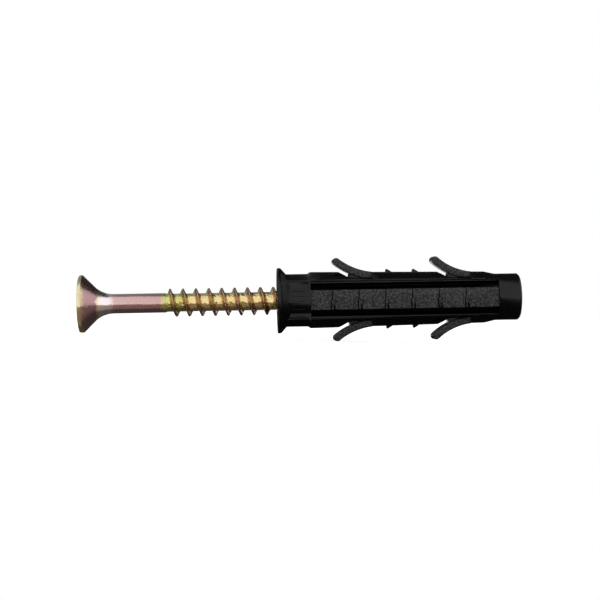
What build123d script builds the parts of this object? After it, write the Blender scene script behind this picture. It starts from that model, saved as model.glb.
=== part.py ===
# Expansion plug with its countersunk wood screw, part driven in.
# Millimetres. X is the common axis and points into the wall, from the screw's head to the plug's nose.
# The origin is the centre of the rim's front face. The part is drawn with its arms along Y and its two
# recessed strips facing along Z, which is also the way the mould opens. At the end it is turned a quarter
# turn about X, so that it stands on its lower arms and the head, as it rests on a table, with Z up.
from build123d import *
from math import cos, hypot, pi, radians, sin, tan
import os

# Screw
screw_length = 60.0
screw_showing = 40.5
head_diameter = 12.0
head_land = 0.75
head_edge = 0.15
head_cone = 90.0
neck_diameter = 6.6
neck_length = 3.65
shank_diameter = 4.0
shank_end = 17.75
shank_bevel = 0.1
core_diameter = 3.7
point_length = 5.5

# Thread, right-handed, made in short straight steps. It starts inside the shank and ends near the point
thread_diameter = 5.8
pitch = 2.65
ridge_base = 1.0
ridge_crest = 0.14
thread_steps = 20
thread_overlap = 0.5
run_in = 1.1
run_out = 6.0
thread_end_gap = 0.8

# Cross recess for the driver
drive_span = 6.2
drive_wing = 1.35
drive_core = 3.4
drive_depth = 3.3
drive_floor_span = 3.2
drive_floor_core = 1.9
drive_point = 0.6

# Clearances between the screw and the plug
thread_clearance = 0.05
neck_clearance = 0.06
head_clearance = 0.06

# Plug, lengths along X
plug_length = 50.0
rim_edge = 0.75
rim_cone = 1.15
collar_length = 4.35
step_length = 0.6
nose_length = 5.0
nose_cone = 2.3
end_wall = 4.7

# Plug, sizes across and walls
rim_diameter = 13.5
collar_diameter = 10.85
barrel_diameter = 11.6
barrel_end_diameter = 10.6
nose_diameter = 9.6
tube_wall = 0.6
collar_wall = 1.24
collar_land = 3.72
seat_wall = 0.3
web_thickness = 2.4
rim_bevel = 0.2
nose_bevel = 0.4
nose_mouth = 0.3

# Recess on the front and back, with the segmented strip along its middle
recess_width = 7.6
recess_end_width = 7.2
strip_width = 4.0
strip_rise = 0.2
segments = 7
first_segment = 4.35
segment_pitch = 5.48
slit_width = 0.25
slit_depth = 0.5
notch_width = 0.95
tongue_width = 0.35
hook_reach = 0.3
hook_length = 0.8

# Lengthwise splits that let the two halves of the barrel spread
split_width = 0.4
split_offset = 0.3
split_land = 4.0

# Barbed arms in two pairs
arm_span = 17.1
arm_reach = 7.2
arm_thickness = 1.5
arm_width = 4.4
arm_roots = (19.4, 39.75)
arm_root_slope = 6.0
arm_root_depth = 0.75
gap_mouth = 6.6
gap_apex = 4.7
gap_depth = 1.15
pocket_margin = 0.1
pocket_web = 3.2

# Teeth on the two side edges
tooth_places = (22.4, 27.9)
tooth_base = 1.2
tooth_lead = 0.2
tooth_height = 0.6
tooth_width = 3.0

# Values worked out from those above
head_radius = head_diameter / 2
neck_radius = neck_diameter / 2
shank_radius = shank_diameter / 2
core_radius = core_diameter / 2
thread_radius = thread_diameter / 2
head_slope = tan(radians(head_cone / 2))
thread_start = shank_end - thread_overlap
thread_step = pitch / thread_steps
thread_count = round((screw_length - thread_end_gap - thread_start) / thread_step)
thread_end = thread_start + thread_count * thread_step
bore_radius = thread_radius + thread_clearance
neck_bore_radius = max(neck_radius + neck_clearance, bore_radius)
tube_radius = bore_radius + tube_wall
collar_start = rim_edge + rim_cone
collar_end = collar_start + collar_length
barrel_start = collar_end + step_length
nose_start = plug_length - nose_length
barrel_end = nose_start - nose_cone
strip_end = plug_length - end_wall
strip_height = tube_radius + strip_rise
collar_tube_radius = neck_bore_radius + collar_wall
seat_radius = head_radius + head_clearance
seat_depth = head_land + head_clearance
web = web_thickness / 2
beyond = 2 * plug_length

along_x = Plane(origin=(0, 0, 0), x_dir=(0, 1, 0), z_dir=(1, 0, 0))
standing = Rot(90, 0, 0)


# Corners of an outline, each with a bevel of the given length cut across it
def bevelled(corners, bevels):
    points = [Vector(*corners[0])]
    for before, corner, after, bevel in zip(corners, corners[1:], corners[2:], bevels):
        here = Vector(*corner)
        sides = [Vector(*before) - here, Vector(*after) - here]
        points += [here + side.normalized() * bevel for side in sides] if bevel else [here]
    return points + [Vector(*corners[-1])]


# Solid turned about X, from (x, radius) corners that start and end on the axis
def turned(corners):
    return revolve(make_face(Polyline(*corners, close=True)), Axis.X)


# Flat outline in the side view, made solid for a given width across Z
def side_plate(outline, width):
    return extrude(make_face(Polyline(*outline, close=True)), width / 2, both=True)


# Box given by its low and high corners
def block(low, high):
    size = Vector(*high) - Vector(*low)
    return Pos(*low) * Box(size.X, size.Y, size.Z, align=Align.MIN)


# Head, neck and shank of the screw, from the head's face to where the thread begins
def screw_blank():
    cone_end = head_land + (head_radius - neck_radius) / head_slope
    neck_end = cone_end + neck_length
    corners = [(0, 0), (0, head_radius), (head_land, head_radius), (cone_end, neck_radius)]
    head = Polyline(*bevelled(corners, [head_edge, head_edge]))
    neck = TangentArc((neck_end, shank_radius), (cone_end, neck_radius), tangent=(-1, 0))
    corners = [(neck_end, shank_radius), (shank_end, shank_radius), (shank_end, 0), (0, 0)]
    shank = Polyline(*bevelled(corners, [shank_bevel, 0]))
    return revolve(make_face(head + neck + shank), Axis.X)


# Point of the threaded stretch at a distance along the screw, on the half-plane of the given step
def on_step(step, x, radius):
    turn = 2 * pi * (thread_start + step * thread_step) / pitch
    return Vector(x, radius * cos(turn), radius * sin(turn))


# Radius of the core, which ends in a cone
def root_radius(x):
    return core_radius * min(1, (screw_length - x) / point_length)


# Ridge's section at a step: foot, both edges of the crest, foot. It grows from nothing and dies out again
def ridge_section(step):
    x = thread_start + step * thread_step
    size = min(1, (x - thread_start) / run_in, (thread_end - x) / run_out)
    crest = root_radius(x) + (thread_radius - core_radius) * size
    base = ridge_base / 2 * min(1, (x - thread_start) / run_in, 2 * (thread_end - x) / run_out)
    top = base * ridge_crest / ridge_base
    foot_low = on_step(step, x - base, root_radius(x - base))
    foot_high = on_step(step, x + base, root_radius(x + base))
    return [foot_low, on_step(step, x - top, crest), on_step(step, x + top, crest), foot_high]


# Whether three points are the corners of a real triangle
def has_area(a, b, c):
    return (b - a).cross(c - a).length > 1e-9


# Two triangles between each pair of neighbouring points of two rails, leaving out those with no area
def strip_between(rail, other):
    triangles = []
    for a, b, c, d in zip(rail, rail[1:], other[1:], other):
        triangles += [corners for corners in ((a, b, c), (a, c, d)) if has_area(*corners)]
    return triangles


# Threaded stretch with its point, closed by the ring that lies inside the shank
def threaded_stretch():
    turn = thread_steps
    low, crest_low, crest_high, high = zip(*[ridge_section(step) for step in range(thread_count + 1)])
    first = [on_step(step, thread_start, root_radius(thread_start)) for step in range(turn + 1)]
    last_steps = range(thread_count - turn, thread_count + 1)
    last = [on_step(step, thread_end, root_radius(thread_end)) for step in last_steps]
    point = [Vector(screw_length, 0, 0)] * (turn + 1)
    triangles = strip_between(low, crest_low) + strip_between(crest_low, crest_high)
    triangles += strip_between(crest_high, high) + strip_between(first, low[:turn + 1])
    triangles += strip_between(high[:-turn], low[turn:]) + strip_between(high[-turn - 1:], last)
    triangles += strip_between(last, point)
    outlines = triangles + [first[:-1]]
    return Solid(Shell([Face(Wire.make_polygon(corners, close=True)) for corners in outlines]))


# Space that the driver's bit fills: four wings whose ends taper inwards, and a tapered core
def drive_recess():
    mouth = drive_span / 2
    cone = turned([(0, 0), (0, mouth), (drive_depth, drive_floor_span / 2), (drive_depth, 0)])
    bar = Pos(drive_depth / 2, 0, 0) * Box(drive_depth, drive_span, drive_wing)
    core_floor = drive_floor_core / 2
    core = turned([(0, 0), (0, drive_core / 2), (drive_depth, core_floor), (drive_depth + drive_point, 0)])
    return cone & (bar + Rot(90, 0, 0) * bar) + core


def countersunk_screw():
    screw = screw_blank() + threaded_stretch() - drive_recess()
    return Pos(-screw_showing, 0, 0) * screw


# Radius of the barrel, which tapers evenly towards the nose
def barrel_radius(x):
    share = (x - barrel_start) / (barrel_end - barrel_start)
    return (barrel_diameter + (barrel_end_diameter - barrel_diameter) * share) / 2


# Outside of the plug, turned
def plug_blank():
    corners = [
        (0, 0), (0, rim_diameter / 2), (rim_edge, rim_diameter / 2), (collar_start, collar_diameter / 2),
        (collar_end, collar_diameter / 2), (barrel_start, barrel_diameter / 2),
        (barrel_end, barrel_end_diameter / 2), (nose_start, nose_diameter / 2),
        (plug_length, nose_diameter / 2), (plug_length, 0),
    ]
    return turned(bevelled(corners, [rim_bevel, rim_bevel, 0, 0, 0, 0, 0, nose_bevel]))


# Room for the screw: seat for the head, wide bore in the collar, then the bore of the driven thread
def plug_bore():
    seat_end = seat_depth + (seat_radius - neck_bore_radius) / head_slope
    return turned([
        (-rim_edge, 0), (-rim_edge, seat_radius), (seat_depth, seat_radius), (seat_end, neck_bore_radius),
        (collar_end, neck_bore_radius), (barrel_start, bore_radius), (plug_length - nose_mouth, bore_radius),
        (plug_length + nose_mouth, bore_radius + 2 * nose_mouth), (plug_length + nose_mouth, 0),
    ])


# Distance along the axis of each slit between two segments
def slit_places():
    return [barrel_start + first_segment + i * segment_pitch for i in range(segments - 1)]


# Slit across the upper half of the strip, and a notch with a hooked tongue across its lower half
def slit(x):
    edge = strip_width / 2
    floor = strip_height - slit_depth
    upper = block((x - slit_width / 2, 0, floor), (x + slit_width / 2, edge, beyond))
    notch_start = x - slit_width / 2 - tongue_width / 2
    notch = block((notch_start, -edge, floor), (notch_start + notch_width, 0, beyond))
    stem_start = notch_start + (notch_width - tongue_width) / 2 - hook_reach / 4
    stem = block((stem_start, -edge, floor), (stem_start + tongue_width, 0, strip_height))
    hook_end = stem_start + tongue_width + hook_reach
    hook = block((stem_start, -hook_length, floor), (hook_end, -hook_length / 2, strip_height))
    return upper + (notch - stem - hook)


# What is cut from the front of the collar: it leaves a flat land on each side of the tube round the neck's
# bore, and keeps the wall of the head's seat whole
def collar_lands():
    wall = seat_wall * hypot(1, head_slope)
    cone_end = seat_depth + (seat_radius + wall - collar_tube_radius) / head_slope
    kept = turned([
        (0, 0), (0, collar_tube_radius + cone_end * head_slope), (cone_end, collar_tube_radius),
        (barrel_start, collar_tube_radius), (barrel_start, 0),
    ])
    return block((rim_edge, -beyond, collar_land), (barrel_start, beyond, beyond)) - kept


# All that is cut from the front: collar lands, lowered strip, the two grooves beside it, and the slits
def front_cuts():
    recess = make_face(Polyline(
        (barrel_start, -recess_width / 2), (strip_end, -recess_end_width / 2),
        (strip_end, recess_end_width / 2), (barrel_start, recess_width / 2), close=True,
    ))
    lowered = Pos(0, 0, strip_height) * extrude(recess, beyond)
    strip = block((0, -strip_width / 2, 0), (plug_length, strip_width / 2, beyond))
    tube = along_x * Cylinder(tube_radius, plug_length, align=(Align.CENTER, Align.CENTER, Align.MIN))
    grooves = Pos(0, 0, web) * extrude(recess, beyond) - strip - tube
    return [collar_lands(), lowered, grooves] + [slit(x) for x in slit_places()]


# Lengthwise split in the floor of one groove
def split():
    start = strip_width / 2 + split_offset
    return block(
        (barrel_start + split_land, start, 0), (strip_end - split_land, start + split_width, strip_height)
    )


# Gap and pockets that free one arm from the barrel, on the +Y side
def arm_clearance(root):
    surface = barrel_radius(root)
    apex = (root - gap_apex, surface - gap_depth)
    top = arm_span
    mouth = (root - gap_mouth, surface)
    gap = side_plate([(root - gap_mouth, top), mouth, apex, (root - gap_apex + gap_depth, top)], beyond)
    foot = (root, surface - arm_root_depth - arm_thickness / 2 - pocket_margin)
    pocket = side_plate([(root - gap_mouth, top), mouth, apex, foot, (root, top)], beyond)
    web_plate = side_plate([(0, 0), (plug_length, 0), (plug_length, top), (0, top)], pocket_web)
    return gap + (pocket - web_plate)


# One arm on the +Y side, sweeping back from its root towards the head
def arm(root):
    root_point = (root, barrel_radius(root) - arm_root_depth)
    tip_point = (root - arm_reach, (arm_span - arm_thickness) / 2)
    slope = radians(arm_root_slope)
    line = TangentArc(root_point, tip_point, tangent=(-cos(slope), sin(slope)))
    strip = SlotArc(line, arm_thickness)
    half_plane = Rectangle(arm_thickness, 2 * arm_thickness, align=(Align.MIN, Align.CENTER))
    return extrude(strip - Pos(*root_point) * half_plane, arm_width / 2, both=True)


# One tooth on the +Y side, steep towards the head
def tooth(x):
    foot = barrel_radius(x) - tooth_height
    return side_plate([
        (x, foot), (x + tooth_lead, barrel_radius(x) + tooth_height),
        (x + tooth_base, barrel_radius(x + tooth_base)), (x + tooth_base, foot),
    ], tooth_width)


# Copies of a feature on both sides of the plug, turned half a turn about the axis
def both_sides(feature):
    return [feature, Rot(180, 0, 0) * feature]


def expansion_plug():
    plug = plug_blank() - plug_bore()
    for cut in front_cuts():
        plug -= both_sides(cut)
    plug -= both_sides(split())
    for root in arm_roots:
        plug -= both_sides(arm_clearance(root))
        plug += both_sides(arm(root))
    for x in tooth_places:
        plug += both_sides(tooth(x))
    return plug


parts = {"expansion_plug": expansion_plug(), "countersunk_screw": countersunk_screw()}
os.makedirs("parts", exist_ok=True)
for name, solid in parts.items():
    export_step(standing * solid, f"parts/{name}.step")
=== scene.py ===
from math import atan2, cos, pi, radians, sin, sqrt, tan

import bmesh
import bpy
from mathutils import Matrix, Vector


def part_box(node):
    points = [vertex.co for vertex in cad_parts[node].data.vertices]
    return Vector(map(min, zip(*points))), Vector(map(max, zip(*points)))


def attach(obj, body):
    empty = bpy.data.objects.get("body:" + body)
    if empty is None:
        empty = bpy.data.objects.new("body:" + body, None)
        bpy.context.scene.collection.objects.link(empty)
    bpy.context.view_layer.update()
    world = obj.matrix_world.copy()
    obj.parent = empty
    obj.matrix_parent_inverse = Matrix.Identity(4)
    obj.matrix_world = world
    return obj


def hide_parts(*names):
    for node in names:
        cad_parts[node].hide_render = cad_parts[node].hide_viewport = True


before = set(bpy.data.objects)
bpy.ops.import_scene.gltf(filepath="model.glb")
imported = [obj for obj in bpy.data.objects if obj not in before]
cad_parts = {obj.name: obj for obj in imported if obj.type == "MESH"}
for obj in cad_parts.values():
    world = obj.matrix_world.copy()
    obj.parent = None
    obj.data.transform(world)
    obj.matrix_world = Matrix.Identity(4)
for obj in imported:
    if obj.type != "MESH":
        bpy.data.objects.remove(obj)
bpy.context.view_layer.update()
mm = 0.001
screwLow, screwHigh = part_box("countersunk_screw")
headFace = screwLow.x / mm  # x of the screw's face


def linear(hexColour):  # an sRGB colour such as "#1b1b1d", as the linear values that Blender takes
    parts = [int(hexColour[i:i + 2], 16) / 255 for i in (1, 3, 5)]
    return [v / 12.92 if v <= 0.04045 else ((v + 0.055) / 1.055) ** 2.4 for v in parts] + [1]


def setInputs(node, inputs):
    # inputs go by name, or in the order of the node's sockets. Each is a plain value, another node's socket,
    # or another node, which stands for its first output
    for socket, value in inputs.items() if isinstance(inputs, dict) else enumerate(inputs):
        if isinstance(value, bpy.types.Node):
            value = value.outputs[0]
        if isinstance(value, bpy.types.NodeSocket):
            node.id_data.links.new(value, node.inputs[socket])
        else:
            node.inputs[socket].default_value = value


def addNode(tree, kind, inputs=(), **settings):
    node = tree.nodes.new(kind)
    for name, value in settings.items():
        setattr(node, name, value)
    setInputs(node, inputs)
    return node


# Materials

noiseSpread = {"From Min": 0.3, "From Max": 0.7}  # most of a noise texture's values lie between these


def newMaterial(name):
    material = bpy.data.materials.new(name)
    material.use_nodes = True
    return material, material.node_tree, material.node_tree.nodes["Principled BSDF"]


nylon = {
    "colour": "#040405",
    "paintedGrainSheen": "#464746",  # painted sheen on the tips of the spark-eroded grain
    "specularLevel": 0.27,
    "roughness": (0.25, 0.35),  # it varies a little, because of how the melt flowed
    "flow": 4.0,  # in patches of about this size
    "ior": 1.53,  # nylon 6
    "skinGrain": 0.16,  # satin skin of the mould
    "skinDepth": 0.004,
    "skinStrength": 0.6,
    "sparkGrain": 0.32,  # spark-eroded grain, drawn coarse so that it shows
    "sparkDepth": 0.05,
    "sparkStrength": 0.8,
    "sparkDullness": 0.2,  # how much rougher than the skin it is
    "sparkTips": (0.46, 0.68),  # heights of the grain, from 0 to 1, where the painted sheen starts and is full
    "stripWidth": 4.0,
    "stripStart": 6.85,
    "stripEnd": 45.3,
    "stripFace": 3.7,  # the strips' faces lie further than this from the middle plane, and the slits' don't
    "armFoot": 4.4,  # flat sides this far above or below the axis are the arms', with the same grain and painted sheen
    "armSide": 1.9,  # and they lie further than this from the middle plane
    "armFacing": 0.8,  # and face the front or back at least this squarely, where 1 is fully
}


def blackNylon():
    # Nylon 6 injection moulded in black. The polished parts of the mould give it a satin skin, and the
    # spark-eroded strips along the front and back come out dull and speckled, with a painted sheen of grey on
    # the grain's tips
    material, tree, shader = newMaterial("mouldedBlackNylon")
    place = addNode(tree, "ShaderNodeTexCoord").outputs["Object"]
    x, y, z = addNode(tree, "ShaderNodeSeparateXYZ", [place]).outputs
    trueNormal = addNode(tree, "ShaderNodeNewGeometry").outputs["True Normal"]
    facingY = addNode(tree, "ShaderNodeSeparateXYZ", [trueNormal]).outputs["Y"]
    depth, height, facing = [addNode(tree, "ShaderNodeMath", [value], operation="ABSOLUTE")
                             for value in (y, z, facingY)]
    pastStart = (x, "GREATER_THAN", nylon["stripStart"] * mm)
    onStrips = [pastStart, (x, "LESS_THAN", nylon["stripEnd"] * mm),
                (height, "LESS_THAN", nylon["stripWidth"] / 2 * mm),
                (depth, "GREATER_THAN", nylon["stripFace"] * mm)]
    onArms = [pastStart, (height, "GREATER_THAN", nylon["armFoot"] * mm),
              (depth, "GREATER_THAN", nylon["armSide"] * mm), (facing, "GREATER_THAN", nylon["armFacing"])]
    masks = []
    for tests in (onStrips, onArms):
        mask = 1.0
        for value, operation, limit in tests:
            passed = addNode(tree, "ShaderNodeMath", (value, limit), operation=operation)
            mask = addNode(tree, "ShaderNodeMath", (mask, passed), operation="MULTIPLY")
        masks.append(mask)
    eroded = addNode(tree, "ShaderNodeMath", masks, operation="MAXIMUM")

    skin = addNode(tree, "ShaderNodeTexNoise",
                   {"Vector": place, "Scale": 1 / (nylon["skinGrain"] * mm), "Detail": 3.0})
    spark = addNode(tree, "ShaderNodeTexNoise",
                    {"Vector": place, "Scale": 1 / (nylon["sparkGrain"] * mm), "Detail": 4.0,
                     "Roughness": 0.75})
    flow = addNode(tree, "ShaderNodeTexNoise",
                   {"Vector": place, "Scale": 1 / (nylon["flow"] * mm), "Detail": 2.0})
    skinBump = addNode(tree, "ShaderNodeBump",
                       {"Height": skin, "Distance": nylon["skinDepth"] * mm,
                        "Strength": nylon["skinStrength"]})
    sparkHeight = addNode(tree, "ShaderNodeMath", (spark, eroded), operation="MULTIPLY")
    sparkBump = addNode(tree, "ShaderNodeBump",
                        {"Height": sparkHeight, "Distance": nylon["sparkDepth"] * mm,
                         "Strength": nylon["sparkStrength"], "Normal": skinBump})
    smooth, rough = nylon["roughness"]
    skinGloss = addNode(tree, "ShaderNodeMapRange",
                        {"Value": flow, **noiseSpread, "To Min": smooth, "To Max": rough})
    gloss = addNode(tree, "ShaderNodeMath", (eroded, nylon["sparkDullness"], skinGloss),
                    operation="MULTIPLY_ADD")
    # the grain's tips on the strips and the arms' sides are painted grey: painted sheen
    start, full = nylon["sparkTips"]
    tips = addNode(tree, "ShaderNodeMapRange", {"Value": spark, "From Min": start, "From Max": full})
    paintedSheenTips = addNode(tree, "ShaderNodeMath", (tips, eroded), operation="MULTIPLY")
    colour = addNode(tree, "ShaderNodeMix",
                     {"Factor": paintedSheenTips, "A": linear(nylon["colour"]), "B": linear(nylon["paintedGrainSheen"])},
                     data_type="RGBA")
    setInputs(shader, {"Base Color": colour.outputs["Result"], "Roughness": gloss, "Normal": sparkBump,
                       "IOR": nylon["ior"], "Specular IOR Level": nylon["specularLevel"]})
    return material


zinc = {
    # the passivation's colour along the screw, by distance from the head's face; the near-white neck from 4.2
    # to 6.2 mm is partly the film's pink and partly a painted highlight
    "alongScrew": [
        (0.0, "#efe3bb"), (0.9, "#dcc69c"), (1.3, "#bd979a"), (3.5, "#b99194"), (3.75, "#efd3a4"),
        (4.2, "#fff6f8"), (6.2, "#fff0f1"), (7.2, "#d6b4b2"), (16.5, "#cfaaa4"), (17.4, "#dcd88c"),
        (21.2, "#dccf84"), (23.0, "#f0d99e"), (60.0, "#f0d99e"),
    ],
    "waver": 0.25,  # how far a colour's end strays along the screw
    "recessRadius": 3.15,  # the cross recess has the face's colour all the way down
    "recessEnd": 3.6,
    "crest": "#b2917c",  # the crests come out pinker and browner than the core
    "crestStart": 2.1,
    "crestFull": 2.6,
    "roughness": (0.18, 0.32),  # it varies with the frosting
    "cloud": 0.8,  # soft unevenness of the drawn wire, which bends reflections
    "cloudDepth": 0.04,
    "cloudStretch": 0.5,  # it is drawn out along the screw
    "rolled": 0.5,  # marks of the thread rolling dies, coarser than real so that they show
    "rolledDepth": 0.2,
    "rolledLean": 40,  # degrees that the marks lean to the axis
    "rolledStretch": 0.5,  # and they are drawn out that way
    "pitting": 0.22,  # fine frosting of the plated layer
    "pittingDepth": 0.003,
}


def yellowZinc():
    # Cold-formed steel, electroplated with zinc and yellow passivated. The film is thin enough to show
    # interference colours, so the metal turns from mauve and pink to green-gold and brass along the screw
    material, tree, shader = newMaterial("yellowPassivatedZinc")
    length = screwHigh.x - screwLow.x
    place = addNode(tree, "ShaderNodeTexCoord").outputs["Object"]
    x, y, z = addNode(tree, "ShaderNodeSeparateXYZ", [place]).outputs
    flat = addNode(tree, "ShaderNodeCombineXYZ", {"Y": y, "Z": z})
    radius = addNode(tree, "ShaderNodeVectorMath", [flat], operation="LENGTH").outputs["Value"]
    threaded = addNode(tree, "ShaderNodeMath", (x, screwLow.x + thread["Start"] * mm),
                       operation="GREATER_THAN")
    drawn = addNode(tree, "ShaderNodeMapping", {"Vector": place, "Scale": (zinc["cloudStretch"], 1, 1)})
    cloud = addNode(tree, "ShaderNodeTexNoise",
                    {"Vector": drawn, "Scale": 1 / (zinc["cloud"] * mm), "Detail": 2.0})
    leaning = addNode(tree, "ShaderNodeMapping",
                      {"Vector": place, "Rotation": (0, radians(-zinc["rolledLean"]), 0)})
    alongMarks = addNode(tree, "ShaderNodeMapping",
                         {"Vector": leaning, "Scale": (zinc["rolledStretch"], 1, 1)})
    rolled = addNode(tree, "ShaderNodeTexNoise",
                     {"Vector": alongMarks, "Scale": 1 / (zinc["rolled"] * mm), "Detail": 1.0})
    pitting = addNode(tree, "ShaderNodeTexNoise",
                      {"Vector": place, "Scale": 1 / (zinc["pitting"] * mm), "Detail": 3.0})

    share = addNode(tree, "ShaderNodeMapRange",
                    {"Value": x, "From Min": screwLow.x, "From Max": screwHigh.x})
    stray = zinc["waver"] * mm / length
    waver = addNode(tree, "ShaderNodeMapRange",
                    {"Value": cloud, **noiseSpread, "To Min": -stray, "To Max": stray})
    beside = addNode(tree, "ShaderNodeMath", (radius, zinc["recessRadius"] * mm), operation="GREATER_THAN")
    below = addNode(tree, "ShaderNodeMath", (x, screwLow.x + zinc["recessEnd"] * mm),
                    operation="GREATER_THAN")
    outOfRecess = addNode(tree, "ShaderNodeMath", (beside, below), operation="MAXIMUM")
    strayed = addNode(tree, "ShaderNodeMath", (share, waver), operation="ADD")
    along = addNode(tree, "ShaderNodeMath", (strayed, outOfRecess), operation="MULTIPLY")
    film = addNode(tree, "ShaderNodeValToRGB", [along])
    stops = film.color_ramp.elements
    while len(stops) < len(zinc["alongScrew"]):
        stops.new(1)
    for stop, (distance, colour) in zip(stops, zinc["alongScrew"]):
        stop.position = distance * mm / length
        stop.color = linear(colour)
    onCrest = addNode(tree, "ShaderNodeMapRange",
                      {"Value": radius, "From Min": zinc["crestStart"] * mm,
                       "From Max": zinc["crestFull"] * mm})
    crestMask = addNode(tree, "ShaderNodeMath", (onCrest, threaded), operation="MULTIPLY")
    tint = addNode(tree, "ShaderNodeMix", {"Factor": crestMask, "A": film, "B": linear(zinc["crest"])},
                   data_type="RGBA")

    smooth, rough = zinc["roughness"]
    gloss = addNode(tree, "ShaderNodeMapRange",
                    {"Value": pitting, **noiseSpread, "To Min": smooth, "To Max": rough})
    waves = addNode(tree, "ShaderNodeBump",
                    {"Height": cloud, "Distance": zinc["cloudDepth"] * mm, "Strength": 1.0})
    rolledHeight = addNode(tree, "ShaderNodeMath", (rolled, threaded), operation="MULTIPLY")
    marks = addNode(tree, "ShaderNodeBump",
                    {"Height": rolledHeight, "Distance": zinc["rolledDepth"] * mm, "Strength": 1.0,
                     "Normal": waves})
    frost = addNode(tree, "ShaderNodeBump",
                    {"Height": pitting, "Distance": zinc["pittingDepth"] * mm, "Strength": 1.0,
                     "Normal": marks})
    setInputs(shader, {"Base Color": tint.outputs["Result"], "Roughness": gloss, "Normal": frost,
                       "Metallic": 1.0})
    return material


# Mesh helpers

nearlyOne = 0.002  # points of a tree's shape that lie closer than this become one


def newPiece(name, bm, material):
    mesh = bpy.data.meshes.new(name)
    bm.to_mesh(mesh)
    bm.free()
    mesh.materials.append(material)
    piece = bpy.data.objects.new(name, mesh)
    bpy.context.scene.collection.objects.link(piece)
    return piece


def keepModified(piece):  # the mesh as its modifiers leave it becomes the piece's own
    evaluated = piece.evaluated_get(bpy.context.evaluated_depsgraph_get())
    mesh = bpy.data.meshes.new_from_object(evaluated)
    piece.modifiers.clear()
    piece.data = mesh


def pieceFromNodes(name, sizes, addShape, material):
    # A piece that Geometry Nodes make. Its sizes are the tree's inputs, and addShape adds the nodes that turn
    # them into a shape in millimetres
    values = {**sizes, "Material": material}
    tree = bpy.data.node_groups.new(name, "GeometryNodeTree")
    tree.interface.new_socket("Geometry", in_out="OUTPUT", socket_type="NodeSocketGeometry")
    for label, value in values.items():
        kind = {int: "Int", float: "Float"}.get(type(value), "Material")
        tree.interface.new_socket(label, in_out="INPUT", socket_type="NodeSocket" + kind)
    size = addNode(tree, "NodeGroupInput").outputs
    shape = addShape(tree, size)
    scaled = addNode(tree, "GeometryNodeTransform", {"Geometry": shape, "Scale": (mm, mm, mm)})
    merged = addNode(tree, "GeometryNodeMergeByDistance", {"Geometry": scaled, "Distance": nearlyOne * mm})
    plain = addNode(tree, "GeometryNodeRealizeInstances", {"Geometry": merged})
    coloured = addNode(tree, "GeometryNodeSetMaterial", {"Geometry": plain, "Material": size["Material"]})
    addNode(tree, "NodeGroupOutput", {"Geometry": coloured})

    piece = newPiece(name, bmesh.new(), material)
    modifier = piece.modifiers.new(name, "NODES")
    modifier.node_group = tree
    for socket in tree.interface.items_tree:
        if socket.in_out == "INPUT":
            modifier[socket.identifier] = values[socket.name]
    keepModified(piece)
    return piece


def combine(piece, other, operation, crossing=False):  # closed solids, of which the second is used up
    modifier = piece.modifiers.new("combine", "BOOLEAN")
    modifier.operation = operation
    modifier.solver = "EXACT"
    modifier.use_self = crossing  # for one made of solids that cross each other
    modifier.object = other
    keepModified(piece)
    bpy.data.objects.remove(other)


def rounded(corners, radii, steps=5):  # outline whose inner corners are rounded off to the given radii
    points = [Vector(corners[0])]
    for before, corner, after, radius in zip(corners, corners[1:], corners[2:], radii):
        here = Vector(corner)
        back, ahead = (Vector(before) - here).normalized(), (Vector(after) - here).normalized()
        half = back.angle(ahead) / 2
        centre = here + (back + ahead).normalized() * radius / sin(half)
        start = here + back * radius / tan(half) - centre
        end = here + ahead * radius / tan(half) - centre
        points += [centre + start.slerp(end, i / steps).normalized() * radius for i in range(steps + 1)]
    return points + [Vector(corners[-1])]


def lathe(name, outline, segments, material):
    # Solid turned round the axis, through (distance from the head's face, radius) points from axis to axis
    bm = bmesh.new()
    rings = []
    for distance, radius in outline:
        x, onAxis = distance + headFace, radius < 1e-6
        turns = [2 * pi * i / segments for i in range(1 if onAxis else segments)]
        rings.append([bm.verts.new((x * mm, radius * mm * cos(a), radius * mm * sin(a))) for a in turns])
    for low, high in zip(rings, rings[1:]):
        for i in range(segments):
            j = i + 1
            ring = [low[i % len(low)], low[j % len(low)], high[j % len(high)], high[i % len(high)]]
            if len(set(ring)) > 2:
                bm.faces.new(list(dict.fromkeys(ring)))
    bmesh.ops.recalc_face_normals(bm, faces=bm.faces)
    return newPiece(name, bm, material)


# Screw

screw = {
    "headLand": 0.75,
    "faceEdgeRound": 0.4,
    "coneEdgeRound": 0.06,
    "headCone": 90,  # degrees, the whole angle
    "neckDiameter": 6.6,
    "neckEnd": 7.1,  # where the neck's curve meets the shank
    "neckSteps": 16,
    "shankDiameter": 4.0,
    "shankEnd": 17.75,
    "shankEdgeRound": 0.12,
    "segments": 96,
    "sharperThan": 35,  # degrees at which an edge isn't shaded smooth
}

thread = {
    "Start": 17.25,  # inside the shank
    "End": 60.0,
    "Pitch": 2.65,
    "Core Radius": 1.85,
    "Thread Radius": 2.9,
    "Half Crest": 0.13,
    "Half Base": 0.62,
    "Flank Hollow": 1.25,  # above 1, the flanks curve outwards into the core
    "Run In": 1.1,
    "Run Out": 6.0,
    "Thread End": 59.2,
    "Point Length": 5.5,
    "Steps per Turn": 64,
    "Columns": 33,
}

crossRecess = {
    "span": 6.2,
    "wing": 1.35,
    "core": 3.4,
    "depth": 3.3,
    "floorSpan": 3.2,
    "floorCore": 1.9,
    "point": 0.6,
    "segments": 24,
    "above": 0.2,  # how far the cutter stands out of the head
    "overLength": 1.2,  # of the bars, next to the span that they are cut to
}


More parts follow.
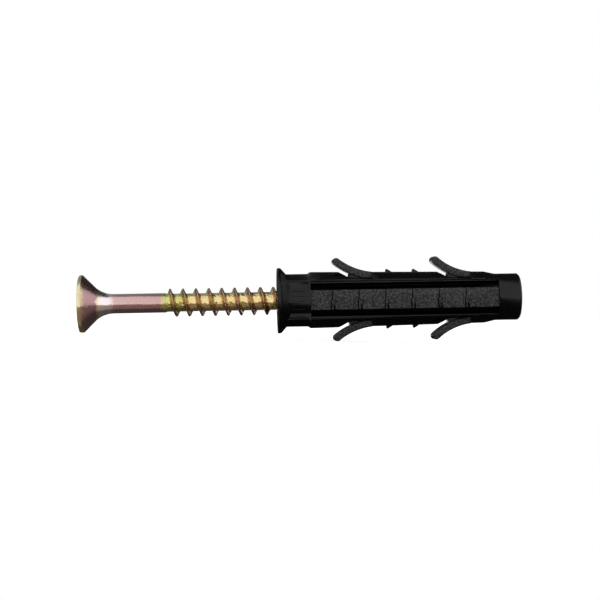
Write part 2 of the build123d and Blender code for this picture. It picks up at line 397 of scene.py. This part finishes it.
def addThread(tree, size):
    # A sheet of points wound round the axis along the thread. Each turn joins the next one at the root of the
    # thread, and both ends close on the axis
    found = {socket.name: socket for socket in size}
    found["index"] = addNode(tree, "GeometryNodeInputIndex")
    shares = ("flank", "fadeIn", "fadeOut", "cone")  # kept between 0 and 1
    for name, operation, *terms in (
        # rows of points along the thread, with half a turn to spare at each end
        ("length", "SUBTRACT", "End", "Start"),
        ("pitches", "DIVIDE", "length", "Pitch"),
        ("turns", "ADD", "pitches", 1.0),
        ("steps", "MULTIPLY", "turns", "Steps per Turn"),
        ("wholeSteps", "CEIL", "steps"),
        ("rows", "ADD", "wholeSteps", 1.0),
        # each point's row and column
        ("rowPlace", "DIVIDE", "index", "Columns"),
        ("row", "FLOOR", "rowPlace"),
        ("earlier", "MULTIPLY", "row", "Columns"),
        ("column", "SUBTRACT", "index", "earlier"),
        # the crest's place at that turn, and the point's own place x, which stays within both ends
        ("turn", "DIVIDE", "row", "Steps per Turn"),
        ("earlyTurn", "SUBTRACT", "turn", 0.5),
        ("middle", "MULTIPLY_ADD", "Pitch", "earlyTurn", "Start"),
        ("gaps", "SUBTRACT", "Columns", 1.0),
        ("share", "DIVIDE", "column", "gaps"),
        ("centredShare", "SUBTRACT", "share", 0.5),
        ("across", "MULTIPLY", "Pitch", "centredShare"),
        ("reach", "ADD", "middle", "across"),
        ("reachFromStart", "MAXIMUM", "reach", "Start"),
        ("x", "MINIMUM", "reachFromStart", "End"),
        # the thread's height, which fades at both ends
        ("fromCrest", "ABSOLUTE", "across"),
        ("fromBase", "SUBTRACT", "fromCrest", "Half Base"),
        ("flankWidth", "SUBTRACT", "Half Crest", "Half Base"),
        ("flank", "DIVIDE", "fromBase", "flankWidth"),
        ("pastStart", "SUBTRACT", "x", "Start"),
        ("fadeIn", "DIVIDE", "pastStart", "Run In"),
        ("toThreadEnd", "SUBTRACT", "Thread End", "x"),
        ("fadeOut", "DIVIDE", "toThreadEnd", "Run Out"),
        ("hollow", "POWER", "flank", "Flank Hollow"),
        ("fade", "MINIMUM", "fadeIn", "fadeOut"),
        ("height", "MULTIPLY", "hollow", "fade"),
        # the radius, nought at the start so that it closes there
        ("toEnd", "SUBTRACT", "End", "x"),
        ("cone", "DIVIDE", "toEnd", "Point Length"),
        ("fullHeight", "SUBTRACT", "Thread Radius", "Core Radius"),
        ("ridge", "MULTIPLY", "height", "fullHeight"),
        ("openRadius", "MULTIPLY_ADD", "Core Radius", "cone", "ridge"),
        ("started", "GREATER_THAN", "x", "Start"),
        ("radius", "MULTIPLY", "openRadius", "started"),
        # the turn round the axis, right-handed
        ("wholeTurns", "MULTIPLY", "middle", 2 * pi),
        ("angle", "DIVIDE", "wholeTurns", "Pitch"),
        ("backwards", "MULTIPLY", "angle", -1.0),
        ("sine", "SINE", "backwards"),
        ("cosine", "COSINE", "angle"),
        ("X", "ADD", "x", "Head Face"),
        ("Y", "MULTIPLY", "radius", "sine"),
        ("Z", "MULTIPLY", "radius", "cosine"),
    ):
        inputs = [found.get(term, term) for term in terms]
        found[name] = addNode(tree, "ShaderNodeMath", inputs, operation=operation, use_clamp=name in shares)
    sheet = addNode(tree, "GeometryNodeMeshGrid",
                    {"Vertices X": found["rows"], "Vertices Y": size["Columns"]})
    place = addNode(tree, "ShaderNodeCombineXYZ", {axis: found[axis] for axis in "XYZ"})
    return addNode(tree, "GeometryNodeSetPosition", {"Geometry": sheet, "Position": place})


def threadedStretch(material):
    piece = pieceFromNodes("threadedStretch", {**thread, "Head Face": headFace}, addThread, material)
    bm = bmesh.new()
    bm.from_mesh(piece.data)
    bmesh.ops.recalc_face_normals(bm, faces=bm.faces)
    bm.to_mesh(piece.data)
    bm.free()
    return piece


def screwBlank(material):
    headRadius = screwHigh.y / mm
    neckRadius, shankRadius = screw["neckDiameter"] / 2, screw["shankDiameter"] / 2
    coneEnd = screw["headLand"] + (headRadius - neckRadius) / tan(radians(screw["headCone"] / 2))
    corners = [(0, 0), (0, headRadius), (screw["headLand"], headRadius), (coneEnd, neckRadius)]
    outline = rounded(corners, [screw["faceEdgeRound"], screw["coneEdgeRound"]])
    # the neck is one arc that runs out into the shank
    reach, drop = screw["neckEnd"] - coneEnd, neckRadius - shankRadius
    sweep = (reach ** 2 + drop ** 2) / (2 * drop)
    for i in range(1, screw["neckSteps"] + 1):
        toEnd = reach * (1 - i / screw["neckSteps"])
        radius = shankRadius + sweep - sqrt(sweep ** 2 - toEnd ** 2)
        outline.append(Vector((screw["neckEnd"] - toEnd, radius)))
    end = [outline[-1], (screw["shankEnd"], shankRadius), (screw["shankEnd"], 0)]
    outline += rounded(end, [screw["shankEdgeRound"]])[1:]
    return lathe("countersunkScrew", outline, screw["segments"], material)


def crossCutter(material):
    # Four wings whose ends taper inwards, round a tapered core
    cut = crossRecess
    above, depth = cut["above"], cut["depth"]
    lean = (cut["span"] - cut["floorSpan"]) / 2 / depth
    cone = [(-above, 0), (-above, cut["span"] / 2 + lean * above), (depth, cut["floorSpan"] / 2), (depth, 0)]
    core = [(-above, 0), (-above, cut["core"] / 2), (0, cut["core"] / 2), (depth, cut["floorCore"] / 2),
            (depth + cut["point"], 0)]
    wings, core = [lathe("recess", outline, cut["segments"], material) for outline in (cone, core)]
    bars = bmesh.new()
    for turn in (0, 90):
        bar = bmesh.ops.create_cube(bars, size=1.0)["verts"]
        for v in bar:
            x = (v.co.x + 0.5) * (depth + above) - above + headFace
            v.co = Vector((x, v.co.y * cut["span"] * cut["overLength"], v.co.z * cut["wing"])) * mm
        bmesh.ops.rotate(bars, verts=bar, cent=(0, 0, 0), matrix=Matrix.Rotation(radians(turn), 3, "X"))
    combine(wings, newPiece("recessBars", bars, material), "INTERSECT", crossing=True)
    combine(wings, core, "UNION")
    return wings


def buildScrew():
    material = yellowZinc()
    piece = screwBlank(material)
    combine(piece, threadedStretch(material), "UNION")
    combine(piece, crossCutter(material), "DIFFERENCE")
    piece.data.shade_smooth()
    piece.data.set_sharp_from_angle(angle=radians(screw["sharperThan"]))
    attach(piece, "screw")
    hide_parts("countersunk_screw")
    print("screw:", len(piece.data.polygons), "faces")


# Plug

plug = {
    "mergeDistance": 0.001,
    "sharperThan": 28,  # degrees at which an edge is rounded
    "edgeRound": 0.09,
    "edgeSteps": 2,
    # the long edges beside the strips and the recess's end are more worn in the mould
    "recessEdgeRound": 0.25,
    "recessEdges": (3.5, 4.0),  # how far the long edges lie above and below the axis, the collar's too
    "recessEdgeLength": 1.0,  # they are longer than this
    "recessEnd": 45.3,
    "recessEndSlack": 0.05,
    "recessFloor": 3.7,  # the edges lie further from the middle plane than this
    "slitEdgeRound": 0.03,
    "stripHalf": 2.01,
    "stripDepth": (3.2, 3.76),  # how far the slits' edges lie from the middle plane
    "armRoot": 5.2,  # from this far above or below the axis the arms' edges get finer, up to their tips
    "armTip": 7.2,
    "armTipRound": 0.03,
}


def onRecessEdge(low, high):
    outside = min(abs(low.y), abs(high.y)) > plug["recessFloor"]
    inner, outer = plug["recessEdges"]
    long = abs(high.x - low.x) > plug["recessEdgeLength"]
    atSide = all(inner < abs(end.z) < outer for end in (low, high)) and long
    atEnd = all(abs(end.x - plug["recessEnd"]) < plug["recessEndSlack"] and abs(end.z) < outer
                for end in (low, high))
    return outside and (atSide or atEnd)


def edgeRound(edge):
    ends = [end.co / mm for end in edge.verts]
    if onRecessEdge(*ends):
        return plug["recessEdgeRound"]
    floor, top = plug["stripDepth"]
    if all(floor < abs(end.y) < top and abs(end.z) < plug["stripHalf"] for end in ends):
        return plug["slitEdgeRound"]
    height = sum(abs(end.z) for end in ends) / 2
    share = min(1, max(0, (height - plug["armRoot"]) / (plug["armTip"] - plug["armRoot"])))
    return plug["edgeRound"] + (plug["armTipRound"] - plug["edgeRound"]) * share


def buildPlug(material):
    bm = bmesh.new()
    bm.from_mesh(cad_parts["expansion_plug"].data)
    bmesh.ops.remove_doubles(bm, verts=bm.verts, dist=plug["mergeDistance"] * mm)
    share = bm.edges.layers.float.new("bevel_weight_edge")
    for edge in bm.edges:
        if edge.is_manifold and edge.calc_face_angle() > radians(plug["sharperThan"]):
            edge[share] = edgeRound(edge) / plug["recessEdgeRound"]
    piece = newPiece("plugMoulding", bm, material)
    bevel = piece.modifiers.new("roundedEdges", "BEVEL")
    bevel.width = plug["recessEdgeRound"] * mm  # the widest, of which the other edges have a share
    bevel.segments = plug["edgeSteps"]
    bevel.limit_method = "WEIGHT"
    bevel.use_clamp_overlap = False
    bevel.harden_normals = True
    piece.data.shade_smooth()
    keepModified(piece)
    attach(piece, "plug")
    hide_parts("expansion_plug")
    print("plug:", len(piece.data.polygons), "faces")


gripBars = {  # low bars round the collar's tube, front and back
    "Bars": 5,  # on each side
    "First": 3.0,  # where they start, from the rim's face
    "Length": 2.6,
    "Width": 0.5,
    "Height": 0.24,  # of which half lies in the tube
    "Step": 0.23,  # radians from one to the next
    "Tube Radius": 4.6,
    "Smoothing": 3,
    "Edge Crease": 0.75,
}


def addGripBars(tree, size):
    # One softened bar, set out in steps round the axis, and again on the other side
    found = {socket.name: socket for socket in size}
    found["index"] = addNode(tree, "GeometryNodeInputIndex")
    for name, operation, *terms in (
        ("bothSides", "MULTIPLY", "Bars", 2.0),
        ("middle", "MULTIPLY_ADD", "Length", 0.5, "First"),
        ("front", "MULTIPLY", "Tube Radius", -1.0),
        # each bar's side, 0 or 1, and how many bars it is from that side's middle
        ("sidePlace", "DIVIDE", "index", "Bars"),
        ("side", "FLOOR", "sidePlace"),
        ("earlier", "MULTIPLY", "side", "Bars"),
        ("place", "SUBTRACT", "index", "earlier"),
        ("steps", "SUBTRACT", "Bars", 1.0),
        ("middlePlace", "MULTIPLY", "steps", 0.5),
        ("fromMiddle", "SUBTRACT", "place", "middlePlace"),
        ("swing", "MULTIPLY", "fromMiddle", "Step"),
        ("turn", "MULTIPLY_ADD", "side", pi, "swing"),
    ):
        inputs = [found.get(term, term) for term in terms]
        found[name] = addNode(tree, "ShaderNodeMath", inputs, operation=operation)
    block = addNode(tree, "ShaderNodeCombineXYZ",
                    {"X": size["Length"], "Y": size["Height"], "Z": size["Width"]})
    bar = addNode(tree, "GeometryNodeMeshCube", {"Size": block})
    softened = addNode(tree, "GeometryNodeSubdivisionSurface",
                       {"Mesh": bar, "Level": size["Smoothing"], "Edge Crease": size["Edge Crease"]})
    out = addNode(tree, "ShaderNodeCombineXYZ", {"X": found["middle"], "Y": found["front"]})
    onTube = addNode(tree, "GeometryNodeTransform", {"Geometry": softened, "Translation": out})
    points = addNode(tree, "GeometryNodeMeshLine", {"Count": found["bothSides"], "Offset": (0, 0, 0)})
    rotation = addNode(tree, "ShaderNodeCombineXYZ", {"X": found["turn"]})
    return addNode(tree, "GeometryNodeInstanceOnPoints",
                   {"Points": points, "Instance": onTube, "Rotation": rotation})


def buildGripBars(material):
    piece = pieceFromNodes("collarGripBars", gripBars, addGripBars, material)
    piece.data.shade_smooth()
    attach(piece, "plug")
    print("grip bars:", len(piece.data.polygons), "faces")


# Table, lights and camera

table = {
    "colour": "#f9f9f9",
    "roughness": 0.9,
    "specularLevel": 0.1,
    "size": 1400,
    "glow": 0.68,  # keeps the unshaded table white
}


def seenDirectly(tree):
    # 1 where the camera, a reflection or glass sees something, and 0 where it only gives light
    rays = addNode(tree, "ShaderNodeLightPath").outputs
    seen = addNode(tree, "ShaderNodeMath", (rays["Is Camera Ray"], rays["Is Glossy Ray"]),
                   operation="MAXIMUM")
    return addNode(tree, "ShaderNodeMath", (seen, rays["Is Transmission Ray"]), operation="MAXIMUM")


def sheetThrough(rows):  # rows of points in mm, as many in each
    bm = bmesh.new()
    verts = [[bm.verts.new(Vector(point) * mm) for point in row] for row in rows]
    for row, following in zip(verts, verts[1:]):
        for i in range(len(row) - 1):
            bm.faces.new((row[i], row[i + 1], following[i + 1], following[i]))
    return bm


def buildTable():
    # It touches the head and a lower arm, so it slopes a little against the object's own axis
    headRadius = screwHigh.z
    plugPoints = [v.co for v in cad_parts["expansion_plug"].data.vertices]
    slope = max((-co.z - headRadius) / (co.x - screwLow.x) for co in plugPoints)

    def tableHeight(x):  # level past the head, so that the head stays on it when the screw is drawn out
        return (-headRadius - slope * max(0, x * mm - screwLow.x)) / mm

    material, tree, shader = newMaterial("whiteTable")
    glow = addNode(tree, "ShaderNodeMath", (seenDirectly(tree), table["glow"]), operation="MULTIPLY")
    setInputs(shader, {"Base Color": linear(table["colour"]), "Roughness": table["roughness"],
                       "Specular IOR Level": table["specularLevel"],
                       "Emission Color": (1, 1, 1, 1), "Emission Strength": glow})
    half = table["size"] / 2
    rows = [[(x, y, tableHeight(x)) for x in (-half, headFace, half)] for y in (-half, half)]
    newPiece("table", sheetThrough(rows), material)
    return tableHeight


studio = {
    "softboxLow": (-520, -4),  # (y, z) of the softbox's two long edges
    "softboxHigh": (-100, 640),
    "softboxLength": 1400,
    "softboxPower": 3.8,  # watts
    "paintedTableReach": 45,  # painted reflections of the table under the object, this far to the front and the back
    "paintedTableJoin": -4,  # y where the front sheet meets the darker one, which paints the object's shadow on the table
    "paintedTableLift": 0.3,
    "hoodRadius": 300,  # painted reflections hung in an arc overhead
    "skirtArc": (-1, 9),  # degrees up from the back, under the hood, which paints the dark outlines as a painted reflection
    "arcStep": 5,
    "worldOnSurfaces": 0.4,  # what the white surroundings give as light, next to 1 where they are seen
}

paintedReflections = {  # painted reflections: evenly glowing sheets, seen in reflections only, that paint the dark sides of a glossy round bar
    # front and under paint the table's reflection, under with the object's painted shadow; skirt and hood
    # paint dark surroundings
    "screw": {"places": (-350, headFace, 0), "front": "#83756b", "under": "#454443",
              "skirt": "#3a3c3b", "hood": "#8b9593", "hoodEnd": 92},
    "plug": {"places": (0, 350), "front": "#1e1e1e", "under": "#161616",
             "skirt": "#101010", "hood": "#282828", "hoodEnd": 104},
}


def buildSoftbox():
    low, high = Vector(studio["softboxLow"]) * mm, Vector(studio["softboxHigh"]) * mm
    middle, across = (low + high) / 2, high - low
    light = bpy.data.lights.new("softbox", "AREA")
    light.shape = "RECTANGLE"
    light.size = studio["softboxLength"] * mm
    light.size_y = across.length
    light.energy = studio["softboxPower"]
    lamp = bpy.data.objects.new("softbox", light)
    lamp.location = (0, middle.x, middle.y)
    lamp.rotation_euler = (atan2(across.y, across.x), 0, 0)
    lamp.visible_camera = False
    lamp.visible_glossy = False  # reflections show the white surroundings there instead
    bpy.context.scene.collection.objects.link(lamp)


def hangPaintedReflection(name, colour, rows):  # a sheet through rows of points that glows evenly in its colour and is seen only in reflections: a painted reflection
    material, _, shader = newMaterial(name)
    setInputs(shader, {"Base Color": (0, 0, 0, 1), "Roughness": 1.0, "Emission Color": linear(colour),
                       "Emission Strength": 1.0})
    sheet = newPiece(name, sheetThrough(rows), material)
    for kind in ("camera", "diffuse", "transmission", "shadow"):
        setattr(sheet, "visible_" + kind, False)


def buildPaintedReflections(tableHeight):
    reach, meeting = studio["paintedTableReach"], studio["paintedTableJoin"]
    skirtStart, hoodStart = studio["skirtArc"]
    radius, lift = studio["hoodRadius"], studio["paintedTableLift"]
    for name, paintedSheets in paintedReflections.items():
        # sheets on the table: its painted reflection, darker under the object as painted shadow
        for part, sides in (("front", (-reach, meeting)), ("under", (meeting, reach))):
            rows = [[(x, y, tableHeight(x) + lift) for x in paintedSheets["places"]] for y in sides]
            hangPaintedReflection(name + part.capitalize() + "Cloth", paintedSheets[part], rows)
        # arcs overhead: painted reflections of dark surroundings
        for part, start, end in (("skirt", skirtStart, hoodStart), ("hood", hoodStart, paintedSheets["hoodEnd"])):
            steps = round((end - start) / studio["arcStep"])
            arc = [radians(start + (end - start) * i / steps) for i in range(steps + 1)]
            rows = [[(x, radius * cos(up), radius * sin(up)) for x in paintedSheets["places"]] for up in arc]
            hangPaintedReflection(name + part.capitalize(), paintedSheets[part], rows)


def buildWorld():
    world = bpy.data.worlds.new("studio")
    world.use_nodes = True
    bpy.context.scene.world = world
    tree = world.node_tree
    strength = addNode(tree, "ShaderNodeMapRange",
                       {"Value": seenDirectly(tree), "To Min": studio["worldOnSurfaces"], "To Max": 1.0})
    setInputs(tree.nodes["Background"], {"Color": (1, 1, 1, 1), "Strength": strength})


camera = {
    "standsAt": (-5, 300),  # x of the lens, and its distance from the axis
    "lens": 87.4,
    "sensor": 36,
    "centre": (4.73, 0.08),  # x and z of what lies in the middle of the picture, on the plane of the axis
    "roll": 1.05,  # degrees that the nose end stands higher in the picture
}


def buildCamera():
    data = bpy.data.cameras.new("camera")
    data.lens = camera["lens"]
    data.sensor_width = camera["sensor"]
    x, distance = camera["standsAt"]
    centreX, centreZ = camera["centre"]
    piece = bpy.data.objects.new("camera", data)
    piece.location = Vector((x, -distance, centreZ)) * mm
    piece.rotation_euler = (pi / 2, radians(camera["roll"]), -atan2(centreX - x, distance))
    bpy.context.scene.collection.objects.link(piece)
    bpy.context.scene.camera = piece


buildCamera()
buildPaintedReflections(buildTable())
buildSoftbox()
buildWorld()
print("studio: table, cloths, softbox and camera")
buildScrew()
moulding = blackNylon()
buildPlug(moulding)
buildGripBars(moulding)
bpy.context.scene.view_settings.view_transform = "Standard"
